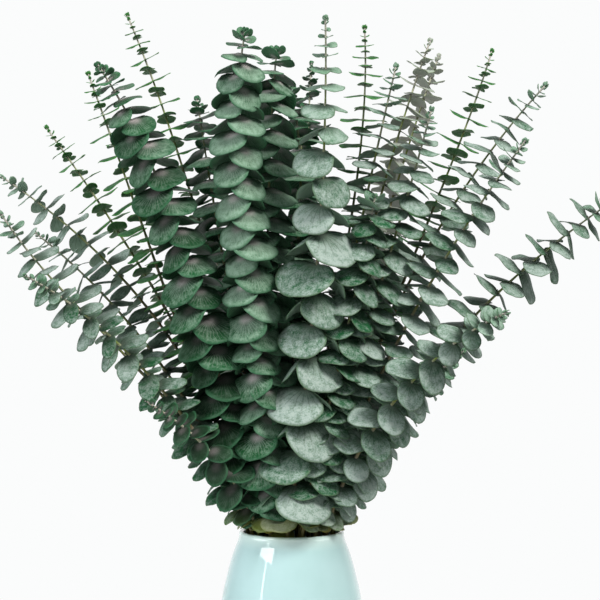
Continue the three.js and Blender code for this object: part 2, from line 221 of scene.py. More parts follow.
def makeLeafMaterial(name, look):
    grain = leafGrain
    material, tree, shader = newMaterial(name)
    tone = addNode(tree, "ShaderNodeAttribute", {"attribute_name": "leafTone"})
    warm = addNode(tree, "ShaderNodeAttribute", {"attribute_name": "leafWarm"})
    parts = addNode(tree, "ShaderNodeSeparateColor", {}, {"Color": tone.outputs["Color"]})
    own, age, toRim = parts.outputs
    place = addNode(tree, "ShaderNodeTexCoord").outputs["Object"]
    patch = addNode(
        tree,
        "ShaderNodeTexNoise",
        {"Scale": perMetre(grain["patch"]), "Detail": 4.0, "Roughness": 0.6},
        {"Vector": place},
    )
    speck = addNode(
        tree,
        "ShaderNodeTexNoise",
        {"Scale": perMetre(grain["speck"]), "Detail": 2.0},
        {"Vector": place},
    )
    blade = addNode(tree, "ShaderNodeUVMap", {"uv_map": "blade"})
    onBlade = addNode(tree, "ShaderNodeSeparateXYZ", {}, {"Vector": blade.outputs["UV"]})
    fromMidrib = addNode(
        tree, "ShaderNodeMath", {"operation": "SUBTRACT", 1: 0.5}, {0: onBlade.outputs["Y"]}
    )
    across = addNode(tree, "ShaderNodeMath", {"operation": "ABSOLUTE"}, {0: fromMidrib.outputs[0]})

    # Veins spread from a pale star near the leaf's root and thin out towards the rim.
    fromLeafRoot = addNode(
        tree,
        "ShaderNodeMath",
        {"operation": "SUBTRACT", 1: look["rootAt"]},
        {0: onBlade.outputs["X"]},
    )
    turnOfVein = addNode(
        tree,
        "ShaderNodeMath",
        {"operation": "ARCTAN2"},
        {0: across.outputs[0], 1: fromLeafRoot.outputs[0]},
    )
    bent = addNode(
        tree,
        "ShaderNodeMath",
        {"operation": "MULTIPLY_ADD", 1: grain["veinBend"]},
        {0: patch.outputs["Fac"], 2: turnOfVein.outputs[0]},
    )
    counted = addNode(
        tree, "ShaderNodeMath", {"operation": "MULTIPLY", 1: look["veins"]}, {0: bent.outputs[0]}
    )
    between = addNode(tree, "ShaderNodeMath", {"operation": "PINGPONG", 1: 0.5}, {0: counted.outputs[0]})
    vein = addNode(
        tree,
        "ShaderNodeMapRange",
        {"From Min": 0.0, "From Max": grain["veinWidth"], "To Min": 1.0, "To Max": 0.0},
        {"Value": between.outputs[0]},
    )
    fromRoot = addNode(
        tree,
        "ShaderNodeVectorMath",
        {"operation": "DISTANCE", 1: (look["rootAt"], 0.5, 0.0)},
        {0: blade.outputs["UV"]},
    )
    fading = addNode(
        tree,
        "ShaderNodeMapRange",
        {
            "From Min": grain["veinReach"][0],
            "From Max": grain["veinReach"][1],
            "To Min": grain["veinShare"],
            "To Max": 0.0,
        },
        {"Value": fromRoot.outputs["Value"]},
    )
    veinShare = addNode(
        tree, "ShaderNodeMath", {"operation": "MULTIPLY"}, {0: vein.outputs[0], 1: fading.outputs[0]}
    )
    # Round the root the leaf is duller: partly its own tint, partly painted shade at the base of the leaf.
    rootTintAndShade = addNode(
        tree,
        "ShaderNodeMapRange",
        {
            "interpolation_type": "SMOOTHSTEP",
            "From Min": grain["rootTintAndShadeReach"][0],
            "From Max": grain["rootTintAndShadeReach"][1],
            "To Min": look["rootTintAndShadeShare"],
            "To Max": 0.0,
        },
        {"Value": fromRoot.outputs["Value"]},
    )
    starReach = addNode(
        tree,
        "ShaderNodeMapRange",
        {
            "interpolation_type": "SMOOTHSTEP",
            "From Min": grain["starReach"][0],
            "From Max": grain["starReach"][1],
            "To Min": look["starShare"],
            "To Max": 0.0,
        },
        {"Value": fromRoot.outputs["Value"]},
    )
    rays = addNode(tree, "ShaderNodeMapRange", {"To Min": 0.5, "To Max": 1.0}, {"Value": vein.outputs[0]})
    star = addNode(
        tree, "ShaderNodeMath", {"operation": "MULTIPLY"}, {0: starReach.outputs[0], 1: rays.outputs[0]}
    )

    # How much wax shows: by the place on the leaf, by the leaf's own tone, which the painted shade on the
    # leaves low on the left lowers, and in grains.
    patchy = addNode(
        tree,
        "ShaderNodeMapRange",
        {
            "From Min": grain["waxRange"][0],
            "From Max": grain["waxRange"][1],
            "To Min": look["waxShare"] + grain["waxSpread"][0],
            "To Max": look["waxShare"] + grain["waxSpread"][1],
        },
        {"Value": patch.outputs["Fac"]},
    )
    waxed = addNode(tree, "ShaderNodeMath", {"operation": "MAXIMUM", 1: 0.0}, {0: own})
    byLeaf = addNode(
        tree,
        "ShaderNodeMath",
        {"operation": "MULTIPLY_ADD", 1: grain["waxByLeaf"]},
        {0: waxed.outputs[0], 2: patchy.outputs[0]},
    )
    grains = addNode(
        tree,
        "ShaderNodeMapRange",
        {
            "From Min": grain["speckRange"][0],
            "From Max": grain["speckRange"][1],
            "To Min": grain["speckSpread"][0] * look["grain"],
            "To Max": grain["speckSpread"][1] * look["grain"],
        },
        {"Value": speck.outputs["Fac"]},
    )
    wax = addNode(
        tree,
        "ShaderNodeMath",
        {"operation": "ADD", "use_clamp": True},
        {0: byLeaf.outputs[0], 1: grains.outputs[0]},
    )
    grown = addNode(
        tree,
        "ShaderNodeMix",
        {"data_type": "RGBA", 6: colour(look["bare"]), 7: colour(look["wax"])},
        {0: wax.outputs[0]},
    )
    youth = addNode(
        tree,
        "ShaderNodeMapRange",
        {
            "From Min": grain["youngReach"][0],
            "From Max": grain["youngReach"][1],
            "To Min": grain["youngShare"],
            "To Max": 0.0,
        },
        {"Value": age},
    )
    upper = addNode(
        tree,
        "ShaderNodeMix",
        {"data_type": "RGBA", 7: colour(look["young"])},
        {0: youth.outputs[0], 6: grown.outputs[2]},
    )
    rootTintedAndShaded = addNode(
        tree,
        "ShaderNodeMix",
        {"data_type": "RGBA", 7: colour(look["rootTintAndShade"])},
        {0: rootTintAndShade.outputs[0], 6: upper.outputs[2]},
    )
    # Undersides take a paler colour: partly the leaf's own underside, partly painted back-light shining
    # through the leaf.
    undersideAndBacklightShare = addNode(
        tree,
        "ShaderNodeMath",
        {"operation": "MULTIPLY", 1: grain["undersideAndBacklightShare"]},
        {0: tone.outputs["Alpha"]},
    )
    sides = addNode(
        tree,
        "ShaderNodeMix",
        {"data_type": "RGBA", 7: colour(look["undersideAndBacklight"])},
        {0: undersideAndBacklightShare.outputs[0], 6: rootTintedAndShaded.outputs[2]},
    )
    veined = addNode(
        tree,
        "ShaderNodeMix",
        {"data_type": "RGBA", 7: colour(look["vein"])},
        {0: veinShare.outputs[0], 6: sides.outputs[2]},
    )
    starred = addNode(
        tree,
        "ShaderNodeMix",
        {"data_type": "RGBA", 7: colour(look["star"])},
        {0: star.outputs[0], 6: veined.outputs[2]},
    )
    # Painted shade, with some real colour: a tone below zero darkens the leaf towards the darkest colour. The
    # painted shade on the leaves low on the left reaches it most, and a few branches have darker leaves of
    # their own.
    deepShare = addNode(
        tree,
        "ShaderNodeMapRange",
        {"From Min": 0.0, "From Max": grain["deepAt"], "To Min": 0.0, "To Max": grain["deepShare"]},
        {"Value": own},
    )
    deepened = addNode(
        tree,
        "ShaderNodeMix",
        {"data_type": "RGBA", 7: colour(look["deep"])},
        {0: deepShare.outputs[0], 6: starred.outputs[2]},
    )
    # The thin rim is greener: partly the edge's own colour, partly painted glow of back-light through the
    # edge.
    rimTintAndGlowShare = addNode(
        tree,
        "ShaderNodeMapRange",
        {"From Min": look["rimFrom"], "From Max": 1.0, "To Min": 0.0, "To Max": grain["rimTintAndGlowShare"]},
        {"Value": toRim},
    )
    rimTintedAndGlowing = addNode(
        tree,
        "ShaderNodeMix",
        {"data_type": "RGBA", 7: colour(look["rim"])},
        {0: rimTintAndGlowShare.outputs[0], 6: deepened.outputs[2]},
    )
    aged = addNode(
        tree,
        "ShaderNodeMix",
        {"data_type": "RGBA", 7: colour(look["warm"])},
        {0: warm.outputs["Fac"], 6: rimTintedAndGlowing.outputs[2]},
    )
    roughness = addNode(
        tree,
        "ShaderNodeMapRange",
        {"To Min": grain["roughness"][0], "To Max": grain["roughness"][1]},
        {"Value": wax.outputs[0]},
    )
    relief = addNode(
        tree,
        "ShaderNodeMath",
        {"operation": "MULTIPLY_ADD", 1: 0.25},
        {0: speck.outputs["Fac"], 2: veinShare.outputs[0]},
    )
    bump = addNode(
        tree,
        "ShaderNodeBump",
        {"Strength": 0.5, "Distance": grain["veinHeight"] * mm},
        {"Height": relief.outputs[0]},
    )
    tree.links.new(aged.outputs[2], shader.inputs["Base Color"])
    tree.links.new(roughness.outputs[0], shader.inputs["Roughness"])
    tree.links.new(bump.outputs[0], shader.inputs["Normal"])
    shader.inputs["IOR"].default_value = grain["ior"]
    shader.inputs["Specular IOR Level"].default_value = look["gloss"]
    shader.inputs["Sheen Weight"].default_value = grain["sheen"]
    shader.inputs["Sheen Roughness"].default_value = grain["sheenRoughness"]
    return material


# Eucalyptus twig: young bark, waxed pale and pinkish at the tip and bare olive brown further down,
# with a paler ring where each pair of leaves leaves it.
youngBarkLook = {
    "old": "#665F30",
    "green": "#748A2C",
    "young": "#A3A88A",
    "ring": "#BEB4B9",
    "greenAt": 0.35,
    "oldFrom": 0.75,
    "fleck": 1.6,
    "fleckHeight": 0.2,
    "roughness": 0.6,
}


def makeBarkMaterial():
    look = youngBarkLook
    material, tree, shader = newMaterial("youngBark")
    tone = addNode(tree, "ShaderNodeAttribute", {"attribute_name": "leafTone"})
    parts = addNode(tree, "ShaderNodeSeparateColor", {}, {"Color": tone.outputs["Color"]})
    age = parts.outputs["Green"]
    ring = parts.outputs["Blue"]
    place = addNode(tree, "ShaderNodeTexCoord").outputs["Object"]
    fleck = addNode(
        tree,
        "ShaderNodeTexNoise",
        {"Scale": perMetre(look["fleck"]), "Detail": 3.0},
        {"Vector": place},
    )
    mixedAge = addNode(
        tree, "ShaderNodeMath", {"operation": "MULTIPLY_ADD", 1: 0.5, 2: -0.25}, {0: fleck.outputs["Fac"]}
    )
    flecked = addNode(
        tree,
        "ShaderNodeMath",
        {"operation": "ADD", "use_clamp": True},
        {0: age, 1: mixedAge.outputs[0]},
    )
    ramp = addNode(tree, "ShaderNodeValToRGB", {}, {"Fac": flecked.outputs[0]})
    ramp.color_ramp.elements[0].color = colour(look["young"])
    ramp.color_ramp.elements[1].color = colour(look["old"])
    ramp.color_ramp.elements[1].position = look["oldFrom"]
    middle = ramp.color_ramp.elements.new(look["greenAt"])
    middle.color = colour(look["green"])
    ringed = addNode(
        tree,
        "ShaderNodeMix",
        {"data_type": "RGBA", 7: colour(look["ring"])},
        {0: ring, 6: ramp.outputs["Color"]},
    )
    bump = addNode(
        tree,
        "ShaderNodeBump",
        {"Strength": 0.5, "Distance": look["fleckHeight"] * mm},
        {"Height": fleck.outputs["Fac"]},
    )
    tree.links.new(ringed.outputs[2], shader.inputs["Base Color"])
    tree.links.new(bump.outputs[0], shader.inputs["Normal"])
    shader.inputs["Roughness"].default_value = look["roughness"]
    return material


# Glazed stoneware: dipped in a pale green-blue glaze and fired. The glass coat is thick and
# smooth, so highlights are sharp, and it has run thin at the lip and pooled lower down.
dippedGlazeLook = {
    "glaze": "#B2D3D6",
    "thin": "#D9EFEA",
    "pool": "#A6C9CA",
    "thinFrom": 198,  # height where it starts to thin, and where it is thinnest
    "thinnest": 210,
    "thinShare": 0.8,
    "poolShare": 0.55,
    "drift": 38,
    "orangePeel": 7,
    "peelHeight": 0.3,
    "roughness": 0.07,
    "ior": 1.52,
    "coat": 0.6,
    "coatRoughness": 0.03,
}


def makeGlazeMaterial():
    look = dippedGlazeLook
    material, tree, shader = newMaterial("dippedGlaze")
    place = addNode(tree, "ShaderNodeTexCoord").outputs["Object"]
    drift = addNode(
        tree,
        "ShaderNodeTexNoise",
        {"Scale": perMetre(look["drift"]), "Detail": 3.0},
        {"Vector": place},
    )
    height = addNode(tree, "ShaderNodeSeparateXYZ", {}, {"Vector": place})
    thinning = addNode(
        tree,
        "ShaderNodeMapRange",
        {
            "From Min": look["thinFrom"] * mm,
            "From Max": look["thinnest"] * mm,
            "To Min": 0.0,
            "To Max": look["thinShare"],
        },
        {"Value": height.outputs["Z"]},
    )
    pooling = addNode(
        tree,
        "ShaderNodeMapRange",
        {"From Min": 0.4, "From Max": 0.7, "To Min": 0.0, "To Max": look["poolShare"]},
        {"Value": drift.outputs["Fac"]},
    )
    pooled = addNode(
        tree,
        "ShaderNodeMix",
        {"data_type": "RGBA", 6: colour(look["glaze"]), 7: colour(look["pool"])},
        {0: pooling.outputs[0]},
    )
    thinned = addNode(
        tree,
        "ShaderNodeMix",
        {"data_type": "RGBA", 7: colour(look["thin"])},
        {0: thinning.outputs[0], 6: pooled.outputs[2]},
    )
    peel = addNode(
        tree,
        "ShaderNodeTexNoise",
        {"Scale": perMetre(look["orangePeel"]), "Detail": 1.0},
        {"Vector": place},
    )
    bump = addNode(
        tree,
        "ShaderNodeBump",
        {"Strength": 0.12, "Distance": look["peelHeight"] * mm},
        {"Height": peel.outputs["Fac"]},
    )
    tree.links.new(thinned.outputs[2], shader.inputs["Base Color"])
    tree.links.new(bump.outputs[0], shader.inputs["Normal"])
    shader.inputs["Roughness"].default_value = look["roughness"]
    shader.inputs["IOR"].default_value = look["ior"]
    shader.inputs["Coat Weight"].default_value = look["coat"]
    shader.inputs["Coat Roughness"].default_value = look["coatRoughness"]
    return material


# Still water: clear, with a mirror-like top.
stillWaterLook = {
    "clear": "#F3FAF6",
    "cloudy": "#E4F1E6",
    "cloud": 25,
    "roughness": 0.02,
    "ior": 1.333,
}


def makeWaterMaterial():
    look = stillWaterLook
    material, tree, shader = newMaterial("stillWater")
    place = addNode(tree, "ShaderNodeTexCoord").outputs["Object"]
    cloud = addNode(tree, "ShaderNodeTexNoise", {"Scale": perMetre(look["cloud"])}, {"Vector": place})
    tint = addNode(
        tree,
        "ShaderNodeMix",
        {"data_type": "RGBA", 6: colour(look["clear"]), 7: colour(look["cloudy"])},
        {0: cloud.outputs["Fac"]},
    )
    tree.links.new(tint.outputs[2], shader.inputs["Base Color"])
    shader.inputs["Roughness"].default_value = look["roughness"]
    shader.inputs["IOR"].default_value = look["ior"]
    shader.inputs["Transmission Weight"].default_value = 1.0
    return material


leafMaterials = {name: makeLeafMaterial(name, look) for name, look in waxedLeafLooks.items()}
barkMaterial = makeBarkMaterial()
glazeMaterial = makeGlazeMaterial()
waterMaterial = makeWaterMaterial()
print("materials made")


# Meshes


def smoothStep(value, low, high):
    t = np.clip((value - low) / (high - low), 0, 1)
    return t * t * (3 - 2 * t)


def mix(a, b, share):
    return a + (b - a) * share


def unit(vector):
    return vector / np.linalg.norm(vector)


def addPiece(name, points, faces, materials, node):
    # points in mm, one object at the origin that stands for a CAD node and rides the one body
    mesh = bpy.data.meshes.new(name)
    mesh.from_pydata((np.asarray(points) * mm).tolist(), [], faces)
    for material in materials:
        mesh.materials.append(material)
    piece = bpy.data.objects.new(name, mesh)
    scene.collection.objects.link(piece)
    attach(piece, "root")
    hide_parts(node)
    return piece


# The vase

vaseShape = {
    "side": [(45, 2.5), (54, 38), (61, 78), (63, 108), (59.5, 150), (55.5, 170), (51, 187), (45.5, 202)],
    "height": 210,
    "sole": [(0, 1.1), (12, 1.0), (38, 1.0), (39.6, 0.4), (41.4, 0)],
    "foot": 43,
    "footRounding": 1.6,
    "wall": 4.5,
    "floor": 9,
    "floorRounding": 7,
    "innerTop": 201,
    "lipMiddle": (42.6, 207.4),
    "lipSize": (2.1, 2.6),
    "mouthReach": 37,  # leaves keep inside it where they hang lower than rimClear above the rim
    "rimClear": 1.5,
    "turns": 144,
    "steps": 9,
}


def throughPoints(points, steps):
    # a smooth line through the points, as a potter's template would have it
    points = np.array(points, float)
    line = []
    for i in range(len(points) - 1):
        a = points[max(i - 1, 0)]
        b = points[i]
        c = points[i + 1]
        d = points[min(i + 2, len(points) - 1)]
        for k in range(steps):
            t = k / steps
            bend = 2 * a - 5 * b + 4 * c - d
            swing = 3 * b - a - 3 * c + d
            line.append(0.5 * (2 * b + (c - a) * t + bend * t**2 + swing * t**3))
    line.append(points[-1])
    return np.array(line)


def arc(centre, size, start, end, count):
    angles = np.radians(np.linspace(start, end, count))
    return np.stack([centre[0] + size[0] * np.cos(angles), centre[1] + size[1] * np.sin(angles)], 1)


def turned(profile, turns):
    # a profile of (radius, height) turned round the axis, closed at both its ends on the axis
    ring = np.linspace(0, 2 * math.pi, turns, endpoint=False)
    points = [(0, 0, profile[0][1])]
    for radius, height in profile[1:-1]:
        points += [(radius * math.cos(a), radius * math.sin(a), height) for a in ring]
    points.append((0, 0, profile[-1][1]))
    faces = [(0, 1 + (k + 1) % turns, 1 + k) for k in range(turns)]
    for i in range(len(profile) - 3):
        low = 1 + i * turns
        high = low + turns
        for k in range(turns):
            after = (k + 1) % turns
            faces.append((low + k, low + after, high + after, high + k))
    last = len(points) - 1
    top = last - turns
    faces += [(top + k, top + (k + 1) % turns, last) for k in range(turns)]
    return points, faces


def makeVase():
    shape = vaseShape
    outer = throughPoints(shape["side"], shape["steps"])
    heights = np.linspace(shape["innerTop"], shape["floor"] + shape["floorRounding"] + 1, 60)
    radii = np.interp(heights, outer[:, 1], outer[:, 0]) - shape["wall"]
    inner = np.stack([radii, heights], 1)
    neckTop = (shape["side"][-1][0] - shape["wall"], shape["innerTop"])
    lip = arc(shape["lipMiddle"], shape["lipSize"], -20, 200, 14)
    rounding = shape["footRounding"]
    footEdge = arc((shape["foot"], rounding), (rounding, rounding), -90, -5, 6)
    rounding = shape["floorRounding"]
    floorEdge = arc((radii[-1] - rounding, shape["floor"] + rounding), (6.9, rounding), -5, -90, 8)
    outside = [*shape["sole"], *footEdge[1:], *outer]
    profile = [*outside, *lip, neckTop, *inner[1:], *floorEdge, (0, shape["floor"])]
    points, faces = turned(profile, shape["turns"])
    vase = addPiece("glazedVase", points, faces, [glazeMaterial], "vase")
    vase.data.shade_smooth()
    return vase


makeVase()
print("vase made")

# The water keeps its CAD shape, with the stems' holes.
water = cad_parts["water"]
water.data.materials.clear()
water.data.materials.append(waterMaterial)
water.data.shade_flat()
print("water finished")

# The branches. Each stands at its neck, the place [x, y] where it passes the vase's mouth.
# It then follows one smooth curve by its rise and its bend to its tip, each [x, y, z].
# Then come its full leaf length, the angle of its first leaf pair from the front, and how far its
# grown leaves hang below the square to the stem, in degrees. The last five are shares: the pairs'
# spacing by the usual one, how much wax shows (below 0 the leaf is dark), how slowly its leaves
# lengthen from the tip, a leaf's width by its length, and how far a leaf rolls to face the light.
branchTable = [
    ((-27, 19), (-70, 25, 340), (-135, 40, 435), (-258, 60, 515), 26, 60, 12, 0.88, 0.95, 1.0, 0.62, 0.55),
    ((-33, 10), (-80, 10, 320), (-145, 15, 405), (-222, 20, 464), 27, 35, 15, 0.82, 0.9, 1.0, 0.62, 0.55),
    ((-35, -1), (-85, -10, 330), (-185, -35, 390), (-236, -60, 476), 28, 70, 15, 0.82, 0.85, 1, 0.64, 0.5),
    ((-31, -12), (-75, -25, 305), (-145, -75, 390), (-204, -130, 424), 26, 30, 20, 0.82, 0.5, 1, 0.62, 0.45),
    ((-20, 28), (-70, 50, 342), (-151, 85, 464), (-223, 90, 562), 24, 85, 0, 0.85, 0.25, 1.5, 0.78, 0.3),
    ((-22, 5), (-80, 5, 320), (-120, 0, 455), (-173, 0, 598), 23, 80, 8, 0.8, 0.2, 1.5, 0.76, 0.3),
    ((-21, -11), (-65, -20, 320), (-80, -50, 485), (-155, -80, 594), 35, 50, 42, 0.7, -0.05, 0.9, 1.18, 0.15),
    ((-12, 33), (-41, 55, 335), (-96, 80, 540), (-149, 85, 663), 23, 88, 0, 0.9, 0.25, 1.5, 0.78, 0.28),
    ((-11, 16), (-40, 20, 320), (-70, 45, 495), (-85, 70, 586), 32, 20, 32, 0.65, 0.2, 0.8, 1.1, 0.2),
    ((-12, -20), (-25, -24, 381), (-19, -35, 546), (-12, -30, 615), 31, 40, 40, 0.72, 0.8, 0.45, 1.18, 0.15),
    ((-17, -30), (-24, -38, 381), (-56, -65, 527), (-36, -90, 620), 31, 45, 46, 0.74, 0.85, 0.5, 1.2, 0.12),
    ((-4, -8), (-20, 0, 340), (30, 20, 510), (-5, 40, 596), 33, 30, 32, 0.66, 0.4, 0.7, 1.1, 0.2),
    ((-1, 7), (-5, 20, 320), (10, 65, 495), (9, 110, 584), 30, 10, 24, 0.8, 0.05, 1.4, 1.0, 0.2),
    ((5, 22), (7, 40, 335), (12, 115, 525), (18, 150, 629), 25, 70, 12, 0.9, -0.05, 1.6, 0.8, 0.15),
    ((-4, -34), (20, -45, 375), (30, -75, 520), (27, -110, 626), 45, 42, 50, 1.25, 0.8, 2.0, 1.16, 0.4),
    ((8, 34), (18, 50, 335), (73, 65, 507), (64, 50, 646), 24, 90, 0, 0.85, 0.25, 1.5, 0.8, 0.32),
    ((6, -20), (30, -20, 340), (65, -10, 505), (89, 0, 605), 29, 60, 18, 0.78, 0.5, 1.1, 0.85, 0.5),
    ((8, -32), (30, -38, 325), (60, -50, 430), (68, -60, 490), 27, 35, 36, 0.75, 0.4, 0.3, 1.0, 0.2),
    ((9, -5), (35, 5, 335), (75, 30, 510), (123, 60, 636), 27, 75, 14, 0.85, 0.8, 1.3, 0.76, 0.5),
    ((14, 13), (40, 35, 335), (95, 105, 520), (141, 180, 641), 27, 30, 14, 0.85, 0.8, 1.3, 0.74, 0.4),
    ((19, -27), (40, -30, 325), (85, -40, 445), (115, -50, 562), 29, 40, 28, 0.78, 0.6, 1.1, 0.9, 0.55),
    ((28, 19), (46, 35, 327), (142, 75, 504), (180, 80, 630), 25, 85, 0, 0.9, 0.25, 1.5, 0.78, 0.32),
    ((22, 2), (50, 5, 330), (115, 5, 480), (218, 10, 590), 30, 50, 16, 0.85, 0.65, 1.0, 0.8, 0.6),
    ((20, -13), (55, -20, 320), (120, -45, 440), (189, -70, 534), 30, 65, 20, 0.85, 0.7, 1.0, 0.82, 0.6),
    ((34, 4), (80, 0, 335), (195, -10, 440), (275, -20, 492), 33, 62, 16, 0.76, 0.6, 0.7, 0.7, 0.9),
    ((28, -20), (50, -35, 300), (120, -85, 375), (165, -140, 396), 31, 60, 28, 0.85, 0.75, 1.1, 0.8, 0.5),
    ((33, -8), (60, -15, 280), (105, -35, 335), (140, -60, 364), 32, 40, 45, 0.85, 0.8, 1.2, 0.8, 0.4),
    ((-26, -22), (-45, -32, 265), (-80, -52, 300), (-116, -85, 325), 29, 45, 30, 0.85, 0.0, 1.4, 0.85, 0.35),
    ((-3, 27), (-20, 40, 290), (-60, 95, 380), (-75, 150, 462), 31, 50, 35, 0.75, 0.25, 1.0, 1.1, 0.25),
    ((18, 27), (25, 45, 290), (70, 110, 380), (104, 180, 464), 31, 40, 35, 0.75, 0.25, 1.2, 1.1, 0.25),
]
branchKeys = (
    *("neck", "rise", "bend", "tip"),
    *("leaf", "turn", "hang"),
    *("spacing", "wax", "slow", "width", "facing"),
)
lookOfBranch = {number: "waxedGreyLeaf" for number in range(1, 31)}
lookOfBranch |= {number: "waxedGreenLeaf" for number in (7, 9, 10, 11, 12, 13, 14, 28)}
lookOfBranch |= {number: "freshGreenLeaf" for number in (5, 6, 8, 16, 22)}
lookOfBranch |= {number: "waxedRosyLeaf" for number in (19, 20)}

stemShape = {
    "neckHeight": 208,
    "footSpread": 0.8,
    "footHeight": 9.35,
    "footRadius": 2.4,
    "tipRadius": 0.55,
    "sides": 8,
    "ringEvery": 9,
    "nodeSwell": 0.3,  # how much thicker a stem is where a pair leaves it
    "nodeLength": 1.8,
    "nodeRing": 1.5,  # and where the rings round it lie
    "closestRings": 0.7,
    "easeAtNeck": 22,  # the curve runs smoothly into the straight within this height of the neck
    "easing": 120,
    "curvePoints": 500,
    "straightPoints": 160,
    "barkAge": 260,  # how far from the tip the bark is old
    "paleRing": 0.8,
    "paleReach": 200,
}
leafShape = {
    "thickness": 0.45,
    "rise": 16,  # how high a young leaf stands, in degrees
    "budRise": 78,  # and one still in the bud
    "sinkFrom": 8,
    "sunkAt": 60,  # for leaves that lengthen at the usual rate
    "light": (0.1, -0.6, 0.8),  # where the leaves turn to
    "strayHang": 18,
    "strayTurn": 18,
    "bud": ((0.2, 3.2), (0.9, 3.6), (2.0, 4.0)),  # pairs in the bud: distance from the tip, length
    "firstPair": 5,
    "leastStep": 5,
    "stepByLeaf": 0.38,
    "tipStep": 0.6,  # the pairs stand closer at the tip, by this share of the step
    "tipReach": 55,
    "lowestPair": 214.5,
    "mouthShare": 0.6,  # leaves stay smaller where the stems crowd at the mouth
    "freeHeight": 262,
    "leastLength": 4,
    "lengthStray": (0.86, 1.12),
    "widthStray": (0.93, 1.07),
    "smallUnder": 9,  # leaves shorter than this take the small mesh
    "middleUnder": 27,
    "lifts": (0, -25, -50, -75),  # tried in turn where a leaf would cut the vase's rim
    "inStem": 0.7,  # how far out on the stem's radius a blade starts
    "mostRoll": 0.9,
    "rollStray": (0.6, 1.4),
    "waxStray": 0.4,
    "leastWax": -0.3,
    "lowLeftShade": 0.95,  # painted shade: how far the tone of the leaves low on the left is lowered, turning them to the dark colour
    "lowLeftShadeAcross": (0, 35),
    "lowLeftShadeUpTo": (250, 400),
    "warmth": (0.3, 0.95),  # old yellowed leaves at the mouth
    "warmUpTo": (217, 236),
    "notch": 0.1,
    "notchWidth": 0.42,  # angle, in radians
    "lobe": 0.05,  # how far a blade reaches back past the stem
    "point": 0.03,
    "pointWidth": 0.22,
    "wave": 0.02,
    "curl": (-0.25, 0.45),
    "arch": (0.02, 0.26),
    "twist": 0.16,
    "midrib": 0.012,  # depth and width of the groove along the middle
    "midribWidth": 0.05,
    "thinRim": 0.35,
}


pathStep = 1.5  # a stem's direction is taken over this far to both sides


def pathOf(branch):
    # the stem's line from tip to foot at every mm or so: places, and distances from the tip
    neck = np.array([*branch["neck"], stemShape["neckHeight"]], float)
    spread = stemShape["footSpread"]
    foot = np.array([neck[0] * spread, neck[1] * spread, stemShape["footHeight"]])
    rise, bend, tip = (np.array(branch[key], float) for key in ("rise", "bend", "tip"))
    t = np.linspace(1, 0, stemShape["curvePoints"])[:, None]
    curve = (1 - t) ** 3 * neck + 3 * t * (1 - t) ** 2 * rise + 3 * t**2 * (1 - t) * bend + t**3 * tip
    straight = neck + (foot - neck) * np.linspace(0, 1, stemShape["straightPoints"])[1:, None]
    line = np.concatenate([curve, straight])
    near = np.abs(line[:, 2] - neck[2]) < stemShape["easeAtNeck"]
    for _ in range(stemShape["easing"]):
        middle = (line[:-2] + line[2:]) / 2
        line[1:-1][near[1:-1]] = middle[near[1:-1]]
    gone = np.concatenate([[0], np.cumsum(np.linalg.norm(np.diff(line, axis=0), axis=1))])
    return line, gone


def placeAt(path, distance):
    line, gone = path
    return np.array([np.interp(distance, gone, line[:, k]) for k in range(3)])


def squareTo(along):
    side = unit(np.cross((0, -1, 0), along))
    return side, np.cross(along, side)


def leafLength(branch, distance):
    return branch["leaf"] * (1 - math.exp(-distance / (branch["slow"] * branch["leaf"])))


def pairsOf(branch, path):
    # the leaf pairs from the tip down: distance from the tip and leaf length
    pairs = list(leafShape["bud"])
    distance = leafShape["firstPair"]
    while placeAt(path, distance)[2] > leafShape["lowestPair"]:
        height = placeAt(path, distance)[2]
        free = smoothStep(height, leafShape["lowestPair"], leafShape["freeHeight"])
        crowded = mix(leafShape["mouthShare"], 1, free)
        size = max(leafLength(branch, distance) * crowded, leafShape["leastLength"])
        pairs.append((distance, size))
        closer = mix(leafShape["tipStep"], 1, smoothStep(distance, 0, leafShape["tipReach"]))
        distance += (leafShape["leastStep"] + leafShape["stepByLeaf"] * size) * branch["spacing"] * closer
    return pairs


def bladeGrid(around, rings):
    # a round blade's upper face: each vertex's angle from the leaf's tip and its reach from the middle
    angles = [0.0]
    reach = [0.0]
    for ring in range(1, rings + 1):
        for k in range(around):
            angles.append(2 * math.pi * k / around)
            reach.append((ring / rings) ** 0.85)
    upper = [(0, 1 + k, 1 + (k + 1) % around) for k in range(around)]
    for ring in range(rings - 1):
        low = 1 + ring * around
        high = low + around
        upper += [
            (low + k, high + k, high + (k + 1) % around, low + (k + 1) % around) for k in range(around)
        ]
    count = len(angles)
    lower = [tuple(count + i for i in reversed(face)) for face in upper]
    edge = count - around
    rim = [
        (edge + (k + 1) % around, edge + k, count + edge + k, count + edge + (k + 1) % around)
        for k in range(around)
    ]
    return {
        "angle": np.array(angles),
        "reach": np.array(reach),
        "faces": upper + lower + rim,
        "smooth": [True] * (len(upper) + len(lower)) + [False] * len(rim),
    }


bladeGrids = {
    "small": bladeGrid(10, 2),
    "middle": bladeGrid(18, 4),
    "large": bladeGrid(28, 6),
}


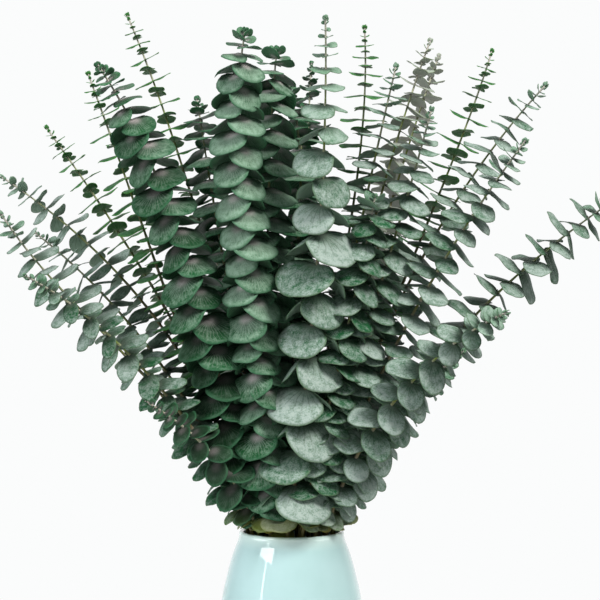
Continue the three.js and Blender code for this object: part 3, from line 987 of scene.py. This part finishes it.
def shapedBlade(grid, length, width, hang, draw):
    # the blade in its own frame, in mm: out from the stem, across, and up towards the stem's tip
    angle = grid["angle"]
    reach = grid["reach"]
    toTip = np.minimum(angle, 2 * math.pi - angle)
    outline = 1 + leafShape["point"] * np.exp(-((toTip / leafShape["pointWidth"]) ** 2))
    outline -= leafShape["notch"] * np.exp(-(((math.pi - toTip) / leafShape["notchWidth"]) ** 2))
    width = width * draw.uniform(*leafShape["widthStray"])
    onBlade = 0.5 + 0.5 * outline * reach * np.cos(angle)
    u = onBlade - leafShape["lobe"]
    v = 0.5 * width * outline * reach * np.sin(angle)
    steps = np.linspace(-0.35, 1.1, 60)
    curl = draw.uniform(*leafShape["curl"])
    lean = hang * (0.25 + 0.75 * smoothStep(steps, 0, 0.5)) + curl * np.maximum(steps - 0.35, 0) ** 2
    along = np.cumsum(np.cos(lean)) * (steps[1] - steps[0])
    down = np.cumsum(np.sin(lean)) * (steps[1] - steps[0])
    along -= np.interp(leafShape["notch"] / 2, steps, along)
    down -= np.interp(leafShape["notch"] / 2, steps, down)
    leanHere = np.interp(u, steps, lean)
    arch = draw.uniform(*leafShape["arch"])
    twist = draw.uniform(-leafShape["twist"], leafShape["twist"])
    phases = draw.uniform(0, 2 * math.pi, 3)
    height = -arch * np.abs(v) ** 1.4 * 1.3 + twist * u * v
    height += leafShape["wave"] * reach**3 * np.sin(3 * angle + phases[0])
    height += 0.6 * leafShape["wave"] * reach**4 * np.sin(5 * angle + phases[1])
    height += 0.4 * leafShape["wave"] * reach**2 * np.sin(2 * angle + phases[2])
    height -= leafShape["midrib"] * np.exp(-((v / leafShape["midribWidth"]) ** 2))
    thick = leafShape["thickness"] / 2 * (1 - leafShape["thinRim"] * reach**2)
    blade = []
    for side in (1, -1):
        raised = height * length + side * thick
        blade.append(
            np.stack(
                [
                    np.interp(u, steps, along) * length + raised * np.sin(leanHere),
                    v * length,
                    -np.interp(u, steps, down) * length + raised * np.cos(leanHere),
                ],
                1,
            )
        )
    return np.concatenate(blade), np.stack([onBlade, v + 0.5], 1)


def rolled(points, root, length, across, share):
    # turns a blade about its own length, so that its upper face looks more to the light
    face = np.cross(length, across)
    light = np.array(leafShape["light"])
    light = unit(light - length * np.dot(light, length))
    angle = math.atan2(np.dot(light, across), np.dot(light, face))
    if angle > math.pi / 2:
        angle -= math.pi
    elif angle < -math.pi / 2:
        angle += math.pi
    angle *= min(share, leafShape["mostRoll"])
    away = points - root
    cos, sin = math.cos(angle), math.sin(angle)
    onAxis = away @ length
    spun = away * cos + np.cross(np.broadcast_to(length, away.shape), away) * -sin
    return root + spun + np.outer(onAxis, length) * (1 - cos)


def rimOfMouthHit(points):
    across = np.hypot(points[:, 0], points[:, 1])
    low = points[:, 2] < vaseShape["height"] + vaseShape["rimClear"]
    return bool(np.any(low & (across > vaseShape["mouthReach"])))


class BranchMesh:
    # collects one branch's stem and leaves
    def __init__(self):
        self.points = []
        self.faces = []
        self.smooth = []
        self.tones = []
        self.warm = []
        self.blade = []
        self.kind = []
        self.count = 0

    def add(self, points, faces, smooth, tones, warm, blade, kind):
        self.points.append(points)
        self.faces += [tuple(self.count + i for i in face) for face in faces]
        self.smooth += smooth
        self.tones.append(tones)
        self.warm.append(np.full(len(points), warm))
        self.blade.append(blade)
        self.kind += [kind] * len(faces)
        self.count += len(points)


def addStem(mesh, path, pairs, draw):
    line, gone = path
    whole = gone[-1]
    marks = set(np.arange(0, whole, stemShape["ringEvery"]).round(2))
    nodes = np.array([distance for distance, _ in pairs])
    for distance in nodes:
        ring = stemShape["nodeRing"]
        marks |= {round(distance - ring, 2), round(distance, 2), round(distance + ring, 2)}
    marks = sorted(m for m in marks if 0 <= m < whole - 1)
    kept = [marks[0]]
    for mark in marks[1:]:
        if mark - kept[-1] > stemShape["closestRings"]:
            kept.append(mark)
    kept.append(whole)
    sides = stemShape["sides"]
    points = []
    tones = []
    own = draw.random()
    for distance in kept:
        middle = placeAt(path, distance)
        before = placeAt(path, max(distance - pathStep, 0))
        after = placeAt(path, min(distance + pathStep, whole))
        along = unit(before - after)
        side, front = squareTo(along)
        nearest = np.min(np.abs(nodes - distance))
        swell = math.exp(-((nearest / stemShape["nodeLength"]) ** 2))
        radius = mix(stemShape["tipRadius"], stemShape["footRadius"], distance / whole)
        radius += stemShape["nodeSwell"] * swell
        for k in range(sides):
            angle = 2 * math.pi * k / sides
            points.append(middle + radius * (math.cos(angle) * front + math.sin(angle) * side))
            pale = stemShape["paleRing"] * swell * math.exp(-distance / stemShape["paleReach"])
            tones.append((own, min(1, distance / stemShape["barkAge"]), pale, 0))
    faces = []
    for i in range(len(kept) - 1):
        for k in range(sides):
            following = (k + 1) % sides
            a = i * sides
            faces.append((a + k, a + sides + k, a + sides + following, a + following))
    last = (len(kept) - 1) * sides
    faces.append(tuple(range(sides)))
    faces.append(tuple(last + k for k in reversed(range(sides))))
    smooth = [True] * (len(faces) - 2) + [False] * 2
    blank = np.zeros((len(points), 2))
    mesh.add(np.array(points), faces, smooth, np.array(tones), 0.0, blank, 1)


def addLeaf(mesh, branch, path, distance, size, turn, draw):
    sunk = smoothStep(distance, leafShape["sinkFrom"], leafShape["sunkAt"] * branch["slow"])
    hang = mix(-leafShape["rise"] * min(1, branch["hang"] / 12), branch["hang"], sunk)
    hang = mix(-leafShape["budRise"], hang, smoothStep(distance, 0, 14))
    hang += leafShape["strayHang"] * (draw.random() - 0.5)
    middle = placeAt(path, distance)
    whole = path[1][-1]
    along = unit(placeAt(path, max(distance - pathStep, 0)) - placeAt(path, distance + pathStep))
    side, front = squareTo(along)
    radius = mix(stemShape["tipRadius"], stemShape["footRadius"], distance / whole)
    length = size * draw.uniform(*leafShape["lengthStray"])
    kind = "large"
    if length < leafShape["smallUnder"]:
        kind = "small"
    elif length < leafShape["middleUnder"]:
        kind = "middle"
    grid = bladeGrids[kind]
    # Painted shade: the leaves low on the left of the bunch have their tone lowered, which takes their wax
    # away and darkens them.
    lowLeftShade = smoothStep(-middle[0], *leafShape["lowLeftShadeAcross"])
    lowLeftShade = lowLeftShade * (1 - smoothStep(middle[2], *leafShape["lowLeftShadeUpTo"]))
    stray = draw.uniform(-leafShape["waxStray"], leafShape["waxStray"])
    tone = np.clip(branch["wax"] + stray, leafShape["leastWax"], 1) - leafShape["lowLeftShade"] * lowLeftShade
    seed = int(draw.integers(1 << 30))
    share = draw.uniform(*leafShape["rollStray"])
    for moreHang in leafShape["lifts"]:
        flat, blade = shapedBlade(
            grid,
            length,
            branch["width"],
            math.radians(hang + moreHang),
            np.random.default_rng(seed),
        )
        angle = math.radians(turn)
        out = front * math.cos(angle) + side * math.sin(angle)
        across = np.cross(along, out)
        root = middle + out * radius * leafShape["inStem"]
        points = root + flat[:, :1] * out + flat[:, 1:2] * across + flat[:, 2:] * along
        points = rolled(points, root, unit(points[1] - root), across, branch["facing"] * share)
        if not rimOfMouthHit(points):
            break
    else:
        return
    half = len(grid["reach"])
    age = min(1, length / branch["leaf"])
    tones = np.zeros((2 * half, 4))
    tones[:, 0] = tone
    tones[:, 1] = age
    tones[:, 2] = np.concatenate([grid["reach"]] * 2)
    tones[half:, 3] = 1
    warmLow, warmHigh = leafShape["warmUpTo"]
    warm = draw.uniform(*leafShape["warmth"]) * float(smoothStep(-middle[2], -warmHigh, -warmLow))
    mesh.add(points, grid["faces"], grid["smooth"], tones, warm, np.concatenate([blade] * 2), 0)


def makeBranch(number, branch):
    draw = np.random.default_rng(700 + number)
    path = pathOf(branch)
    pairs = pairsOf(branch, path)
    mesh = BranchMesh()
    addStem(mesh, path, pairs, draw)
    for rank, (distance, size) in enumerate(pairs):
        for way in (0, 1):
            turn = branch["turn"] + 90 * rank + 180 * way
            turn += leafShape["strayTurn"] * (draw.random() - 0.5)
            addLeaf(mesh, branch, path, distance, size, turn, draw)
    look = lookOfBranch[number]
    piece = addPiece(
        f"eucalyptusBranch_{number:02d}",
        np.concatenate(mesh.points),
        mesh.faces,
        [leafMaterials[look], barkMaterial],
        f"branch_{number:02d}",
    )
    data = piece.data
    data.polygons.foreach_set("material_index", mesh.kind)
    data.polygons.foreach_set("use_smooth", mesh.smooth)
    tones = data.attributes.new("leafTone", "FLOAT_COLOR", "POINT")
    tones.data.foreach_set("color", np.concatenate(mesh.tones).astype(np.float32).ravel())
    warm = data.attributes.new("leafWarm", "FLOAT", "POINT")
    warm.data.foreach_set("value", np.concatenate(mesh.warm).astype(np.float32))
    corners = np.zeros(len(data.loops), np.int32)
    data.loops.foreach_get("vertex_index", corners)
    blade = data.uv_layers.new(name="blade")
    blade.data.foreach_set("uv", np.concatenate(mesh.blade)[corners].astype(np.float32).ravel())
    data.update()
    return 2 * len(pairs), sum(len(face) - 2 for face in mesh.faces)


leafTotal = 0
triangleTotal = 0
for number, row in enumerate(branchTable, 1):
    leaves, triangles = makeBranch(number, dict(zip(branchKeys, row)))
    leafTotal += leaves
    triangleTotal += triangles
print("branches made:", leafTotal, "leaves,", triangleTotal, "triangles")

# The studio: a pale floor, a bright even surround and soft boxes

studio = {
    "floorRadius": 780,
    "floorSides": 96,
    "floor": "#D6D5D2",
    "floorGrain": 6,
    "floorRoughness": 0.8,
    "surround": "#FBFCFC",
    "brightLight": 1.0,  # the surround behind the vase
    "dimLight": 0.25,  # and all round
    "fromDim": 0.45,  # where it starts to brighten, and where it is full, by the direction's Y
    "toBright": 0.92,
    # name: place, aimed at, size across and up, watts, colour, spread in degrees
    "lights": {
        "highRightBox": ((900, -1050, 1800), (0, 0, 420), (800, 700), 42, "#FFFBF4", 180),
        "highLeftBox": ((-1250, -900, 1300), (0, 0, 420), (900, 700), 15, "#FFFFFF", 180),
        "leftStrip": ((-1100, -900, 420), (0, 0, 200), (60, 900), 1.2, "#FFFFFF", 180),
        "lowFrontBox": ((-60, -640, 70), (0, 0, 120), (600, 120), 0.03, "#FFFFFF", 60),
        "lowLeftBox": ((-600, -200, 70), (0, 0, 130), (400, 120), 0.16, "#FFFFFF", 60),
        "lowRightBox": ((600, -200, 70), (0, 0, 130), (400, 120), 0.06, "#FFFFFF", 60),
        "smallLamp": ((-560, -1180, 1250), (0, 0, 200), (60, 60), 1.2, "#FFFFFF", 180),
    },
}


def makeFloor():
    material, tree, shader = newMaterial("paleMattFloor")
    place = addNode(tree, "ShaderNodeTexCoord").outputs["Object"]
    grain = addNode(
        tree, "ShaderNodeTexNoise", {"Scale": perMetre(studio["floorGrain"])}, {"Vector": place}
    )
    bump = addNode(tree, "ShaderNodeBump", {"Strength": 0.05}, {"Height": grain.outputs["Fac"]})
    tree.links.new(bump.outputs[0], shader.inputs["Normal"])
    shader.inputs["Base Color"].default_value = colour(studio["floor"])
    shader.inputs["Roughness"].default_value = studio["floorRoughness"]
    sides = studio["floorSides"]
    ring = np.linspace(0, 2 * math.pi, sides, endpoint=False)
    radius = studio["floorRadius"] * mm
    mesh = bpy.data.meshes.new("floor")
    edge = [(radius * math.cos(a), radius * math.sin(a), 0) for a in ring]
    mesh.from_pydata(edge, [], [tuple(range(sides))])
    mesh.materials.append(material)
    floor = bpy.data.objects.new("floor", mesh)
    scene.collection.objects.link(floor)


def makeLights():
    world = bpy.data.worlds.new("surround")
    world.use_nodes = True
    tree = world.node_tree
    background = tree.nodes["Background"]
    background.inputs["Color"].default_value = colour(studio["surround"])
    direction = addNode(tree, "ShaderNodeTexCoord")
    toBack = addNode(tree, "ShaderNodeSeparateXYZ", {}, {"Vector": direction.outputs["Generated"]})
    strength = addNode(
        tree,
        "ShaderNodeMapRange",
        {
            "interpolation_type": "SMOOTHSTEP",
            "From Min": studio["fromDim"],
            "From Max": studio["toBright"],
            "To Min": studio["dimLight"],
            "To Max": studio["brightLight"],
        },
        {"Value": toBack.outputs["Y"]},
    )
    tree.links.new(strength.outputs[0], background.inputs["Strength"])
    scene.world = world
    for name, (place, target, size, watts, tint, spread) in studio["lights"].items():
        data = bpy.data.lights.new(name, "AREA")
        data.shape = "RECTANGLE"
        data.size = size[0] * mm
        data.size_y = size[1] * mm
        data.energy = watts
        data.color = colour(tint)[:3]
        data.spread = math.radians(spread)
        light = bpy.data.objects.new(name, data)
        light.location = Vector(place) * mm
        light.rotation_euler = (Vector(target) - Vector(place)).to_track_quat("-Z", "Y").to_euler()
        scene.collection.objects.link(light)


makeFloor()
makeLights()
print("studio made")
